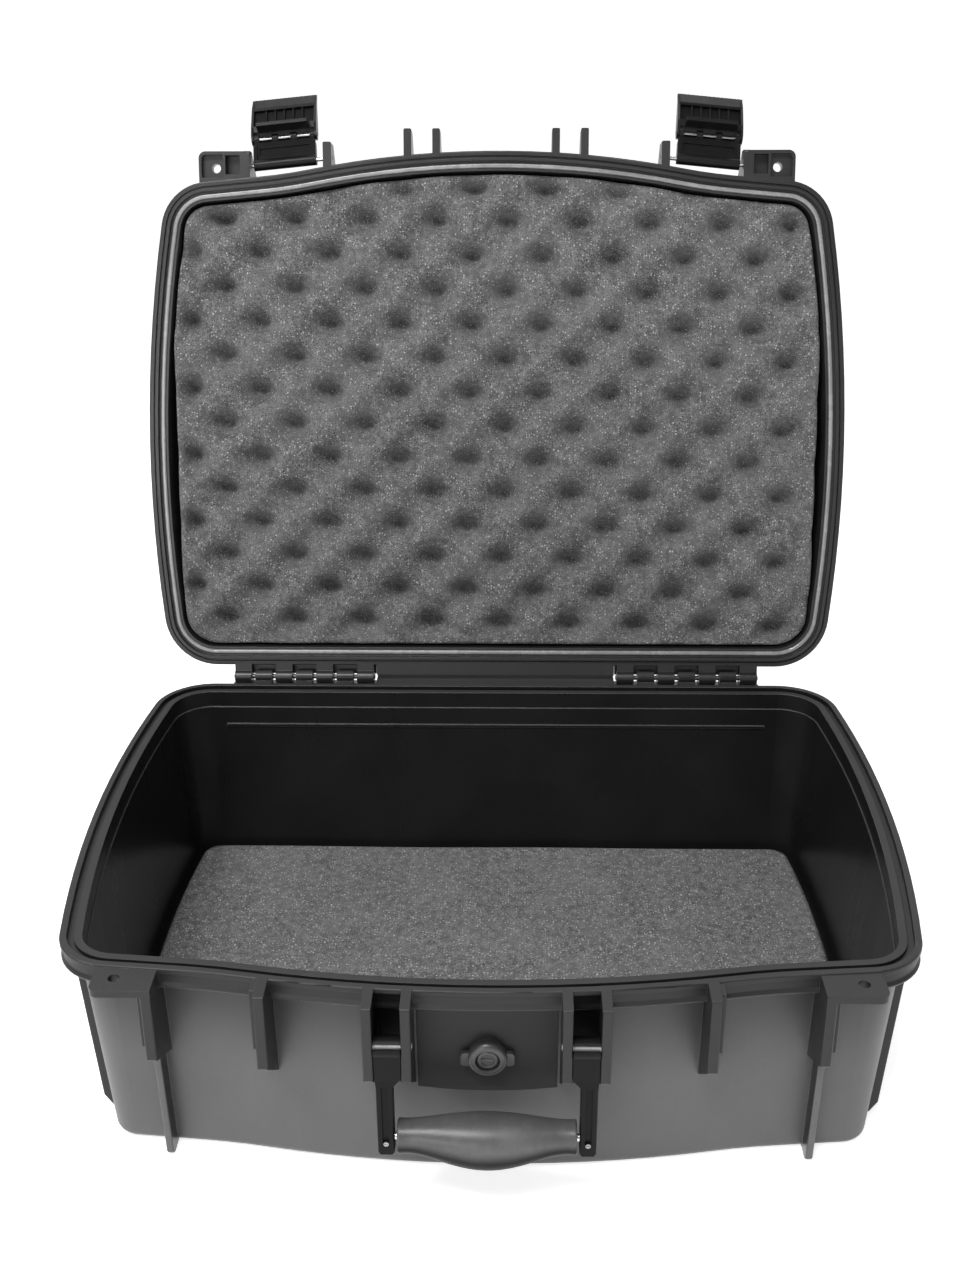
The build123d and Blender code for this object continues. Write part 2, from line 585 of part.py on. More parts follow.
def latch_opened(shape, side):
    """A latch piece swung about the lid's pin to its stop, then placed and opened with the lid."""
    swung = shape.rotate(Axis((0, *LINK_PIN), (1, 0, 0)), -LATCH_OPEN)
    return opened(latch_place(side) * swung)


# ---------------------------------------------------------------- handle

def make_arm(side):
    """Handle arm: snap eye round the pivot pin, channelled shank, boss for the grip's rod."""
    y, z = HANDLE_PIVOT
    low = z - ARM_DROP
    half = ARM_HEAD_HALF
    shift = SHANK_X - ARM_CENTRE_X
    inner, outer = shift - SHANK_HALF, shift + SHANK_HALF
    head = rod_x(-half, half, y, z, 6.2)
    head += profile_yz([(y - 5.2, z), (y + 5.2, z), (y + 4.6, z - 20), (y - 4.4, z - 20)], -half, half)
    head -= Pos(0, y, z) * Rot(62, 0, 0) * Pos(0, 0, 8) * Box(20, 3.5, 16)
    shank = [(-half, z - 19.5), (half, z - 19.5), (outer, z - 24), (outer, low + 2), (outer - 1.2, low),
             (inner + 1.2, low), (inner, low + 2), (inner, z - 25.5)]
    shank = Polyline(*[(px, y, pz) for px, pz in shank], close=True)
    shank = Pos(0, -3.9, 0) * extrude(make_face(shank), 7.8, dir=(0, 1, 0))
    rims = [e for e in shank.edges() if e.center().Z < z - 22 and abs(e.center().Y - y) > 3]
    shank = fillet(rims, 0.8)
    arm = head + shank
    arm -= Pos(shift, y - 4.6, (z + low) / 2 - 8) * Box(3.6, 4.0, ARM_DROP - 34)
    arm -= rod_x(-8, 8, y, z, HANDLE_PIN_R + RUNNING)
    arm = Pos(ARM_CENTRE_X, 0, 0) * arm
    arm -= rod_x(SHANK_X - 6, SHANK_X + 2.5, y, z - GRIP_DROP, ROD_R + SEATED)
    screw = Pos(SHANK_X, y, z - GRIP_DROP - SCREW_DROP) * Rot(90, 0, 0)
    arm -= screw * Pos(0, 0, 0.8) * Cylinder(SCREW_R + 0.05, 7)
    arm -= screw * Pos(0, 0, 4.0) * Cylinder(1.6, 1.6)
    return arm if side > 0 else mirror(arm, Plane.YZ)


def make_grip():
    """Barrel grip moulded round the rod, fuller in the middle and bowed a little downwards."""
    y, z = HANDLE_PIVOT[0], HANDLE_PIVOT[1] - GRIP_DROP
    end = GRIP_HALF_LENGTH
    sections = []
    for share in (-1.0, -0.8, -0.4, 0.0, 0.4, 0.8, 1.0):
        fullness = max(0.0, 1 - (abs(share) / 0.8) ** 1.5)
        place = Plane(origin=(share * end, y, z - GRIP_BOW * fullness), x_dir=(0, 1, 0), z_dir=(1, 0, 0))
        sections.append(place * Circle(GRIP_R_END + (GRIP_R_MID - GRIP_R_END) * fullness))
    grip = loft(sections)
    grip = fillet([e for e in grip.edges() if abs(abs(e.center().X) - end) < 0.01], 1.2)
    return grip - rod_x(-end - 1, end + 1, y, z, ROD_R + SEATED)


def make_rod():
    y, z = HANDLE_PIVOT[0], HANDLE_PIVOT[1] - GRIP_DROP
    rod = rod_x(-SHANK_X - 2, SHANK_X + 2, y, z, ROD_R)
    for side in (-1, 1):
        rod -= Pos(side * SHANK_X, y, z - SCREW_DROP) * Rot(90, 0, 0) * Cylinder(SCREW_R + 0.05, 9)
    return rod


def make_handle_screws():
    """Two small screws that lock the rod in the arms."""
    y, z = HANDLE_PIVOT[0], HANDLE_PIVOT[1] - GRIP_DROP
    screws = []
    for side in (-1, 1):
        place = Pos(side * SHANK_X, y, z - SCREW_DROP) * Rot(90, 0, 0)
        screw = place * Pos(0, 0, 0.6) * Cylinder(SCREW_R, 6)
        screw += place * Pos(0, 0, 3.75) * Cylinder(1.5, 0.9)
        screws.append(screw - place * Pos(0, 0, 4.2) * Box(2.2, 0.45, 0.7))
    return Compound(children=screws)


def make_handle_pin(side):
    pin = rod_x(BRACKET_RIBS[0][0] - 0.1, BRACKET_RIBS[1][1] + 0.1, *HANDLE_PIVOT, HANDLE_PIN_R)
    pin = chamfer(pin.edges().filter_by(GeomType.CIRCLE), 0.4)
    return pin if side > 0 else mirror(pin, Plane.YZ)


# ---------------------------------------------------------------- purge valve, along -Y

def valve_disc(r, out, back):
    """A disc about the valve's axis, from back to out, both measured outwards from the boss's seat."""
    return Pos(0, VALVE_SEAT_Y - (out + back) / 2, VALVE_Z) * Rot(90, 0, 0) * Cylinder(r, out - back)


def outer_circle(shape):
    """The outermost circular edge along the valve's axis."""
    return shape.edges().filter_by(GeomType.CIRCLE).sort_by(Axis.Y)[0]


def make_valve_body():
    """Bush through the wall, with a high rounded ring and two grip lugs for a flange."""
    ring_disc = valve_disc(11.2, 6.0, 0.05)
    body = fillet(outer_circle(ring_disc), 3.2)
    for side in (-1, 1):
        lug = Pos(side * 11.9, VALVE_SEAT_Y - 1.6, VALVE_Z - 0.8) * Box(6.4, 3.1, 8.6)
        body += fillet(lug.edges().filter_by(Axis.Y), 2.2)
    body -= valve_disc(7.0, 7, 2.0)
    body += valve_disc(VALVE_BORE_R, 0.2, -13.0)
    body -= valve_disc(3.1, 3.0, -9.0)
    return body - valve_disc(1.6, -8.0, -14.0)


def make_valve_knob():
    """Screw knob in the ring, with a coin slot's bar, and its stem in the bush."""
    knob = valve_disc(6.4, 5.0, 2.2)
    knob = fillet(outer_circle(knob), 1.6)
    knob -= valve_disc(3.9, 5.6, 4.0)
    knob += Pos(0, VALVE_SEAT_Y - 4.3, VALVE_Z) * Box(7.2, 1.0, 1.5)
    return knob + valve_disc(3.0, 2.4, -7.0)


def make_valve_seal():
    washer = valve_disc(9.6, -WALL_AT_VALVE - 0.05, -WALL_AT_VALVE - 1.45)
    return washer - valve_disc(VALVE_BORE_R + 0.03, 1, -12)


def make_valve_nut():
    """Hexagon nut behind the washer."""
    middle = VALVE_SEAT_Y + WALL_AT_VALVE + 3.1
    nut = Pos(0, middle, VALVE_Z) * Rot(90, 0, 0) * extrude(RegularPolygon(10.4, 6), 1.6, both=True)
    return nut - valve_disc(VALVE_BORE_R + 0.03, 1, -20)


# ---------------------------------------------------------------- output

def main():
    os.makedirs("parts", exist_ok=True)
    nodes = {
        "base_shell": make_base_shell(),
        "base_foam": make_base_foam(),
        "lid_shell": opened(make_lid_closed()),
        "lid_seal": opened(make_seal_closed()),
        "lid_foam": opened(make_lid_foam_closed()),
        "handle_grip": make_grip(),
        "handle_rod": make_rod(),
        "handle_screws": make_handle_screws(),
        "valve_body": make_valve_body(),
        "valve_knob": make_valve_knob(),
        "valve_seal": make_valve_seal(),
        "valve_nut": make_valve_nut(),
    }
    for side, name in ((-1, "left"), (1, "right")):
        nodes[f"hinge_pin_{name}"] = make_hinge_pin(side)
        nodes[f"handle_arm_{name}"] = make_arm(side)
        nodes[f"handle_pin_{name}"] = make_handle_pin(side)
        nodes[f"latch_link_{name}"] = latch_opened(make_link(), side)
        nodes[f"latch_lever_{name}"] = latch_opened(make_lever(), side)
        lid_pin = make_latch_pin(*LINK_PIN, *sorted((side * -32.0, side * 28.5)))
        nodes[f"latch_lid_pin_{name}"] = opened(latch_place(side) * lid_pin)
        half = LEVER_HALF_WIDTH - 0.3
        nodes[f"latch_lever_pin_{name}"] = latch_opened(make_latch_pin(*LEVER_PIN, -half, half), side)
    for name, shape in nodes.items():
        export_step(shape, f"parts/{name}.step")


main()
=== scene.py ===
"""The hard equipment case's looks: procedural materials on the CAD frame, modelled foam pads,
studio and camera."""
import json
import math

import bpy
import bmesh
import numpy as np
from mathutils import Matrix, Vector


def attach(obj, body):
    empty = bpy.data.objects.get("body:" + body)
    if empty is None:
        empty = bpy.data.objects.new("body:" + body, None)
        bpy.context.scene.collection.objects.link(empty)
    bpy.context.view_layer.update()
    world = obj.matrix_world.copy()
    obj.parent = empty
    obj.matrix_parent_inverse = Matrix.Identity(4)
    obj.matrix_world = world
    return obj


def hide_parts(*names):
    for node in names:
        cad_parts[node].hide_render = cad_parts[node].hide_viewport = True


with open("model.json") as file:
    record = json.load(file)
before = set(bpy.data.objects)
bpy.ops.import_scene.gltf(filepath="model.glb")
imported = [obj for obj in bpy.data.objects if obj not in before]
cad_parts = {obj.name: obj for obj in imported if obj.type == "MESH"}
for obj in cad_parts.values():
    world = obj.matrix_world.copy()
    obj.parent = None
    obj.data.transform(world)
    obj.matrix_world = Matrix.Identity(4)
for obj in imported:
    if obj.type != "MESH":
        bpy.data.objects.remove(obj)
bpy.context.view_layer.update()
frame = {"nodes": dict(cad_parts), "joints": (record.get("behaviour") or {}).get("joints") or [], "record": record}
nodes = frame["nodes"]
MM = 0.001

# The lid is packed open, and its foam is modelled closed, where it lies level.
HINGE = next(j for j in frame["joints"] if j["name"] == "lid_hinge")
HINGE_AT = Vector(HINGE["pos_m"])
OPEN_TURN = Matrix.Rotation(-math.radians(HINGE["range_deg"][1]), 4, "X")
CLOSED_TO_OPEN = Matrix.Translation(HINGE_AT) @ OPEN_TURN @ Matrix.Translation(-HINGE_AT)
OPEN_TO_CLOSED = CLOSED_TO_OPEN.inverted()


# ---------------------------------------------------------------- node helpers

def grey(v, warm=0.0):
    return (v * (1 + warm), v, v * (1 - warm), 1.0)


class Mat:
    """A material under construction, with short calls for the nodes it uses."""

    def __init__(self, name):
        self.mat = bpy.data.materials.new(name)
        self.mat.use_nodes = True
        self.tree = self.mat.node_tree
        self.tree.nodes.clear()
        out = self.tree.nodes.new("ShaderNodeOutputMaterial")
        self.bsdf = self.tree.nodes.new("ShaderNodeBsdfPrincipled")
        self.tree.links.new(self.bsdf.outputs[0], out.inputs[0])
        self.coords = self.node("ShaderNodeTexCoord").outputs["Object"]

    def node(self, kind, **settings):
        n = self.tree.nodes.new(kind)
        for key, value in settings.items():
            setattr(n, key, value)
        return n

    def put(self, socket, value):
        """Link value into socket if it is another node's output, or set it as the socket's own value."""
        if hasattr(value, "is_output"):
            self.tree.links.new(value, socket)
        elif value is not None:
            socket.default_value = value

    def noise_node(self, scale, detail=2.0, rough=0.5, stretch=None):
        """Noise whose features are about 1/scale metres across."""
        n = self.node("ShaderNodeTexNoise")
        place = self.coords
        if stretch:
            m = self.node("ShaderNodeMapping")
            self.put(m.inputs["Vector"], place)
            m.inputs["Scale"].default_value = stretch
            place = m.outputs[0]
        self.put(n.inputs["Vector"], place)
        n.inputs["Scale"].default_value = scale
        n.inputs["Detail"].default_value = detail
        n.inputs["Roughness"].default_value = rough
        return n

    def noise(self, scale, detail, rough, stretch=None):
        return self.noise_node(scale, detail, rough, stretch).outputs["Fac"]

    def cells(self, scale, place, feature="F1"):
        """Voronoi cells about 1/scale metres across."""
        n = self.node("ShaderNodeTexVoronoi", feature=feature)
        self.put(n.inputs["Vector"], place)
        n.inputs["Scale"].default_value = scale
        return n

    def math(self, op, a, b=None, c=None):
        n = self.node("ShaderNodeMath", operation=op)
        for socket, value in zip(n.inputs, (a, b, c)):
            self.put(socket, value)
        return n.outputs[0]

    def vector(self, op, a, b=None, output=0):
        n = self.node("ShaderNodeVectorMath", operation=op)
        self.put(n.inputs[0], a)
        self.put(n.inputs[1], b)
        return n.outputs[output]

    def dot(self, a, b):
        return self.vector("DOT_PRODUCT", a, b, "Value")

    def scaled(self, colour, factor):
        """colour times factor."""
        n = self.node("ShaderNodeVectorMath", operation="SCALE")
        self.put(n.inputs[0], colour)
        self.put(n.inputs["Scale"], factor)
        return n.outputs[0]

    def axes(self, vector):
        """The X, Y and Z of vector, each an output."""
        n = self.node("ShaderNodeSeparateXYZ")
        self.put(n.inputs[0], vector)
        return n.outputs["X"], n.outputs["Y"], n.outputs["Z"]

    def facing(self):
        """The surface's own normal, in the row frame while the part is at rest."""
        return self.node("ShaderNodeNewGeometry").outputs["Normal"]

    def span(self, value, a, b, low=0.0, high=1.0):
        """value from a..b brought smoothly to low..high."""
        n = self.node("ShaderNodeMapRange", interpolation_type="SMOOTHSTEP")
        self.put(n.inputs["Value"], value)
        for key, v in (("From Min", a), ("From Max", b), ("To Min", low), ("To Max", high)):
            n.inputs[key].default_value = v
        return n.outputs["Result"]

    def mix(self, factor, a, b):
        """Colour a where factor is 0, b where it is 1."""
        n = self.node("ShaderNodeMix", data_type="RGBA")
        self.put(n.inputs[0], factor)
        self.put(n.inputs[6], a)
        self.put(n.inputs[7], b)
        return n.outputs[2]

    def bump(self, height, distance, strength=1.0, normal=None):
        n = self.node("ShaderNodeBump")
        self.put(n.inputs["Height"], height)
        n.inputs["Distance"].default_value = distance
        n.inputs["Strength"].default_value = strength
        self.put(n.inputs["Normal"], normal)
        return n.outputs[0]

    def soft_edges(self, radius):
        n = self.node("ShaderNodeBevel", samples=4)
        n.inputs["Radius"].default_value = radius
        return n.outputs[0]

    def edge_mask(self, bevelled, low, high):
        """1 on the object's outer and inner edges, 0 on its faces."""
        return self.span(self.dot(bevelled, self.facing()), high, low)

    def set(self, **values):
        for key, value in values.items():
            self.put(self.bsdf.inputs[key.replace("_", " ").title().replace("Ior", "IOR")], value)


# ---------------------------------------------------------------- materials

GRAIN_DEPTH = 0.00006
FOAM_CELLS = 580              # per metre
FOAM_WARP = 0.0016            # how far the cells are bent out of place
FOAM_DEPTH = 0.0007

PAINTED_LIGHT_OUTSIDE = dict(bright=5.0, gloss=0.50)     # painted light: how many times paler the base's outer walls low down and its up-facing faces are, and their gloss
INNER_FACE = dict(colour=0.009, rough=0.28)     # smoother faces inside the base, their colour darker as painted shade

PLAN_WEIGHT = (0.62, 1.0, 0.0)          # turns the way out from the middle towards the way the walls face

# Painted shade in the bays of the handle's pivots: where it lies and how dark it is.
BAY_X = (0.0463, 0.0611)                # between the ribs of a handle bracket
BAY_FRONT_WALL = (-0.165, -0.168)       # the front wall's y, over which the painted shade comes in
BAY_FOOT = (0.085, 0.100)               # heights over which it comes in
BAY_TOP = 0.1370                        # it ends just under the rim's top
BAY_SHADE = 0.8
MASK_EDGE = 0.0004


def inner_mask(m):
    """1 on the base's inner walls, 0 on its outer walls and ribs, by where each faces on the plan."""
    on_plan = m.vector("MULTIPLY", m.facing(), (1.0, 1.0, 0.0))
    outward = m.vector("NORMALIZE", m.vector("MULTIPLY", m.coords, PLAN_WEIGHT))
    return m.span(m.dot(on_plan, outward), -0.52, -0.60)


def painted_light_mask(m):
    """Where the base is painted paler, as painted light: up to 1 low on the tapered outer walls, which lean out
    as they rise, leaving their tops in painted shade, about a third on faces that look up, as a painted
    highlight, 0 on upright faces."""
    up = m.axes(m.facing())[2]
    leaning = m.math("MULTIPLY", m.span(up, -0.025, -0.06), m.span(up, -0.75, -0.45))
    height = m.axes(m.coords)[2]
    walls = m.math("MULTIPLY", leaning, m.span(height, 0.135, 0.055, 0.30, 0.93))
    return m.math("MAXIMUM", walls, m.span(up, 0.55, 0.95, 0.0, 0.36))


def bay_shade_mask(m):
    """1 in the two bays where the handle's pivots sit, where shade is painted, 0 elsewhere."""
    x, y, z = m.axes(m.coords)
    across = m.math("ABSOLUTE", x)
    inner, outer = BAY_X
    bay = m.span(across, inner - MASK_EDGE, inner)
    bay = m.math("MULTIPLY", bay, m.span(across, outer + MASK_EDGE, outer))
    bay = m.math("MULTIPLY", bay, m.span(y, *BAY_FRONT_WALL))
    bay = m.math("MULTIPLY", bay, m.span(z, BAY_TOP + 2 * MASK_EDGE, BAY_TOP))
    return m.math("MULTIPLY", bay, m.span(z, *BAY_FOOT))


def moulded_tone(m, colour, fine, cloud, streak, rub):
    """The plastic's colour: flow blotches and streaks, sparkle, scuffs and pale rubbed edges."""
    scratch = m.span(m.noise(210, 3.0, 0.7, stretch=(1.0, 0.06, 1.0)), 0.68, 0.74)
    tone = m.mix(m.span(cloud, 0.3, 0.7), grey(colour * 0.88), grey(colour * 1.12))
    tone = m.mix(m.math("MULTIPLY", m.span(streak, 0.45, 0.75), 0.25), tone, grey(colour * 1.35))
    tone = m.mix(m.span(fine, 0.35, 0.75, 0.0, 0.35), tone, grey(colour * 1.7))
    tone = m.mix(m.math("MULTIPLY", scratch, 0.25), tone, grey(colour * 2.2))
    return m.mix(m.math("MULTIPLY", rub, 0.55), tone, grey(colour * 2.4))


def moulded_plastic(name, colour, rough, grain=2600, edge=0.0004, gloss=0.5, outside=None, inside=None):
    """Spark-textured injection-moulded plastic with flow blotches, rubbed edges and fine scuffs.
    outside says how many times paler the painted light makes the outer walls and up-facing faces, and their
    gloss, and the bays of the handle's pivots then get painted shade. inside is the colour, darker as painted
    shade, and roughness of a smoother inner face, whose edges get a painted highlight."""
    m = Mat(name)
    fine = m.noise(grain, 2.0, 0.6)
    mid = m.noise(grain * 0.33, 2.0, 0.5)
    cloud = m.noise(14, 4.0, 0.6)
    streak = m.noise(60, 5.0, 0.65, stretch=(1.0, 1.0, 0.12))
    rounded = m.soft_edges(edge)
    worn = m.span(m.noise(95, 4.0, 0.7), 0.35, 0.62, 0.15, 1.0)
    rub = m.math("MULTIPLY", m.edge_mask(rounded, 0.80, 0.985), worn)
    tone = moulded_tone(m, colour, fine, cloud, streak, rub)
    roughness = m.span(cloud, 0.25, 0.75, rough - 0.05, rough + 0.06)
    roughness = m.math("ADD", roughness, m.math("MULTIPLY", rub, -0.10))
    height = m.math("ADD", fine, m.math("MULTIPLY", mid, 0.6))
    if outside:
        # painted light: outer walls paler low down, and faces that look up paler
        wall = painted_light_mask(m)
        tone = m.mix(wall, tone, m.scaled(tone, outside["bright"]))
        gloss = m.math("ADD", gloss, m.math("MULTIPLY", wall, outside["gloss"] - gloss))
        # painted shade in the bays of the handle's pivots darkens colour and gloss there
        unshaded = m.math("SUBTRACT", 1.0, m.math("MULTIPLY", bay_shade_mask(m), BAY_SHADE))
        tone = m.scaled(tone, unshaded)
        gloss = m.math("MULTIPLY", gloss, unshaded)
    if inside:
        inner = inner_mask(m)
        outer = m.math("SUBTRACT", 1.0, inner)
        # the inner faces' darker colour is painted shade
        shade = m.mix(m.span(cloud, 0.3, 0.7), grey(inside["colour"] * 0.8), grey(inside["colour"] * 1.2))
        tone = m.mix(inner, tone, shade)
        sheen = m.span(streak, 0.3, 0.7, inside["rough"] - 0.01, inside["rough"] + 0.02)
        roughness = m.math("ADD", m.math("MULTIPLY", roughness, outer), m.math("MULTIPLY", sheen, inner))
        height = m.math("MULTIPLY", height, m.math("SUBTRACT", 1.0, m.math("MULTIPLY", inner, 0.7)))
        # painted highlight: pale lines along the edges inside the base
        tone = m.mix(m.math("MULTIPLY", m.edge_mask(rounded, 0.86, 0.985), inner), tone, grey(0.16))
    m.set(base_color=tone, roughness=roughness, normal=m.bump(height, GRAIN_DEPTH, 1.0, rounded), ior=1.5,
          specular_ior_level=gloss)
    return m.mat


def foam(name, dark, light):
    """Open-cell foam: cell walls over dark hollows, soft mottling, and the odd bright cut strut."""
    m = Mat(name)
    warp = m.node("ShaderNodeVectorMath", operation="MULTIPLY_ADD")
    m.put(warp.inputs[0], m.noise_node(FOAM_CELLS * 0.8).outputs["Color"])
    m.put(warp.inputs[1], (FOAM_WARP, FOAM_WARP, FOAM_WARP))
    m.put(warp.inputs[2], m.coords)
    bent = warp.outputs[0]
    walls = m.cells(FOAM_CELLS, bent, "DISTANCE_TO_EDGE").outputs["Distance"]
    mottle = m.noise(170, 5.0, 0.72)
    drift = m.noise(26, 3.0, 0.55)
    tone = m.mix(m.span(walls, 0.02, 0.34), grey(light), grey(dark))
    tone = m.mix(m.span(mottle, 0.36, 0.60, 0.70, 0.0), tone, grey(dark))
    tone = m.mix(m.span(drift, 0.3, 0.7, 0.0, 0.30), tone, grey(light))
    specks = m.cells(FOAM_CELLS * 0.85, bent)
    pick = m.node("ShaderNodeSeparateColor")
    m.put(pick.inputs[0], specks.outputs["Color"])
    chosen = m.span(pick.outputs[0], 0.45, 0.75)
    strut = m.math("MULTIPLY", chosen, m.span(specks.outputs["Distance"], 0.36, 0.16))
    tone = m.mix(strut, tone, grey(min(1.0, light * 2.3)))
    height = m.math("SUBTRACT", mottle, m.math("MULTIPLY", m.span(walls, 0.0, 0.3), 0.8))
    m.set(base_color=tone, roughness=0.95, normal=m.bump(height, FOAM_DEPTH, 0.8), ior=1.35,
          specular_ior_level=0.15, sheen_weight=0.15, sheen_roughness=0.6, sheen_tint=grey(0.6))
    return m.mat


def steel(name, bright=0.72, rough=(0.16, 0.32), metallic=1.0):
    """Drawn stainless pin: fine lines along X and faint smears."""
    m = Mat(name)
    lines = m.noise(1500, 2.0, 0.5, stretch=(0.02, 1.0, 1.0))
    smear = m.noise(120, 3.0, 0.6)
    tone = m.mix(m.span(smear, 0.35, 0.7), grey(bright), grey(bright * 0.76, 0.01))
    m.set(base_color=tone, metallic=metallic, roughness=m.span(lines, 0.3, 0.7, *rough),
          normal=m.bump(lines, 0.00002, 0.7, m.soft_edges(0.0002)))
    return m.mat


def rubber(name, colour, rough, gloss=0.5, underside_shade=1.0):
    """Smooth moulded rubber with a faint bloom and handling marks; its last argument scales its colour on faces
    that look down, as painted shade.
    """
    m = Mat(name)
    fine = m.noise(1800, 2.0, 0.6)
    bloom = m.noise(45, 4.0, 0.65)
    tone = m.mix(m.span(bloom, 0.35, 0.7), grey(colour * 0.85), grey(colour * 1.25))
    tone = m.mix(m.span(fine, 0.4, 0.7, 0.0, 0.3), tone, grey(colour * 1.5))
    # painted shade: faces that look down are darker and less glossy
    low = m.span(m.axes(m.facing())[2], 0.35, -0.25)
    tone = m.mix(low, tone, m.scaled(tone, underside_shade))
    shine = m.math("MULTIPLY_ADD", low, gloss * (underside_shade - 1), gloss)
    m.set(base_color=tone, roughness=m.span(bloom, 0.3, 0.7, rough - 0.06, rough + 0.08),
          normal=m.bump(fine, 0.00004, 1.0, m.soft_edges(0.0003)), ior=1.5, specular_ior_level=shine)
    return m.mat


VALVE = moulded_plastic("valve_plastic", colour=0.030, rough=0.26, grain=3600, gloss=0.6)
BRIGHT_STEEL = steel("steel_bright", bright=0.95, rough=(0.40, 0.55), metallic=0.4)
DULL_STEEL = steel("steel_dull", bright=0.32)
DARK_STEEL = steel("steel_dark", bright=0.10, rough=(0.35, 0.50))

LOOKS = {
    "shell_plastic": moulded_plastic("shell_plastic", colour=0.013, rough=0.32, edge=0.0006, gloss=0.45),
    "latch_plastic": moulded_plastic("latch_plastic", colour=0.005, rough=0.32, grain=3200, gloss=0.16),
    "handle_plastic": moulded_plastic("handle_plastic", colour=0.004, rough=0.36, grain=3200, gloss=0.10),
    "grip_rubber": rubber("grip_rubber", colour=0.072, rough=0.34, gloss=0.32, underside_shade=0.15),
    "seal_rubber": rubber("seal_rubber", colour=0.17, rough=0.24, gloss=0.9),
    "washer_rubber": rubber("washer_rubber", colour=0.012, rough=0.5),
    "steel": steel("steel_pin"),
    "foam": foam("foam_grey", dark=0.050, light=0.215),
}
SPECIAL = {
    "base_shell": moulded_plastic("base_plastic", colour=0.012, rough=0.44, edge=0.0006, gloss=0.30,
                                  outside=PAINTED_LIGHT_OUTSIDE, inside=INNER_FACE),
    "valve_body": VALVE,
    "valve_knob": VALVE,
    "valve_nut": VALVE,
    "handle_pin_left": BRIGHT_STEEL,
    "handle_pin_right": BRIGHT_STEEL,
    "handle_screws": DULL_STEEL,
    "latch_lever_pin_left": DULL_STEEL,
    "latch_lever_pin_right": DULL_STEEL,
    "hinge_pin_left": DARK_STEEL,
    "hinge_pin_right": DARK_STEEL,
}
for part in frame["record"]["subparts"]:
    node = nodes[part["node"]]
    node.data.materials.clear()
    node.data.materials.append(SPECIAL.get(part["node"], LOOKS[part["material_slot"]]))


# ---------------------------------------------------------------- foam pads

def line_crossing(a, b, ray):
    """How far from the origin, in direction ray, the line through a and b is met; None if it never is."""
    d = np.array((math.cos(ray), math.sin(ray)))
    e = b - a
    cross = d[0] * e[1] - d[1] * e[0]
    return None if abs(cross) < 1e-12 else (a[0] * e[1] - a[1] * e[0]) / cross


def plan_outline(points, count=1440):
    """A star-shaped plan outline from scattered points on it: its middle, its half size, count even
    angles about the middle, and the outline's radius at each."""
    low, high = points.min(0), points.max(0)
    middle = (low + high) / 2
    rel = points - middle
    angle = np.arctan2(rel[:, 1], rel[:, 0])
    order = np.argsort(angle)
    angle, rel = angle[order], rel[order]
    farthest = np.hypot(rel[:, 0], rel[:, 1]).max()
    rays = np.linspace(-math.pi, math.pi, count, endpoint=False)
    after = np.searchsorted(angle, rays) % len(angle)
    radii = [line_crossing(rel[k - 1], rel[k], ray) for k, ray in zip(after, rays)]
    return middle, (high - low) / 2, rays, np.array([farthest if r is None else r for r in radii])


def grid_faces(bm, x, y, z):
    """A grid of vertices, joined by square faces; returns the vertices round its border, in order."""
    rows, columns = x.shape[0] - 1, x.shape[1] - 1
    grid = [[bm.verts.new(place) for place in zip(*line)] for line in zip(x, y, z)]
    for j in range(rows):
        for i in range(columns):
            bm.faces.new((grid[j][i], grid[j][i + 1], grid[j + 1][i + 1], grid[j + 1][i]))
    border = [grid[0][i] for i in range(columns)]
    border += [grid[j][columns] for j in range(rows)]
    border += [grid[rows][i] for i in range(columns, 0, -1)]
    border += [grid[j][0] for j in range(rows, 0, -1)]
    return border


def side_faces(bm, border, middle, back, taper):
    """Sides from border to height back, drawn in towards the middle by taper, and the flat back."""
    centre = Vector((middle[0], middle[1], 0))
    loop = border
    for share in SIDE_STEPS:
        new = []
        for vert in border:
            x, y, z = vert.co
            inward = (Vector((x, y, 0)) - centre).normalized() * (taper * share)
            new.append(bm.verts.new((x - inward.x, y - inward.y, z + (back - z) * share)))
        for k in range(len(border)):
            bm.faces.new((loop[k], new[k], new[(k + 1) % len(new)], loop[(k + 1) % len(loop)]))
        loop = new
    bm.faces.new(loop)


def pad_mesh(name, outline, columns, rows, surface, back, taper=0.0):
    """A closed pad: a grid front whose rings follow the outline, sides that draw in by taper, a flat back.
    surface(x, y, inset) gives the front's height, with inset the way in from the rim."""
    middle, half, rays, radii = outline
    u, v = np.meshgrid(np.linspace(-1, 1, columns + 1), np.linspace(-1, 1, rows + 1))
    ring = np.maximum(abs(u), abs(v))
    theta = np.arctan2(v * half[1], u * half[0])
    reach = np.interp(theta, rays, radii, period=2 * math.pi)
    x = middle[0] + ring * reach * np.cos(theta)
    y = middle[1] + ring * reach * np.sin(theta)
    z = surface(x, y, (1 - ring) * reach)
    bm = bmesh.new()
    side_faces(bm, grid_faces(bm, x, y, z), middle, back, taper)
    bmesh.ops.recalc_face_normals(bm, faces=bm.faces)
    mesh = bpy.data.meshes.new(name)
    bm.to_mesh(mesh)
    bm.free()
    for polygon in mesh.polygons:
        polygon.use_smooth = True
    piece = bpy.data.objects.new(name, mesh)
    bpy.context.scene.collection.objects.link(piece)
    return piece


def node_points(name, matrix=Matrix.Identity(4)):
    return np.array([matrix @ v.co for v in nodes[name].data.vertices])


def smooth_noise(x, y, seed, size):
    """A soft random surface of about +-1, with bumps of the given size."""
    rng = np.random.default_rng(seed)
    total = np.zeros_like(x)
    for _ in range(14):
        a, p = rng.uniform(0, 2 * math.pi, 2)
        k = 2 * math.pi / (size * rng.uniform(0.7, 1.6))
        total += np.cos(k * (x * math.cos(a) + y * math.sin(a)) + p)
    return total / 3.7


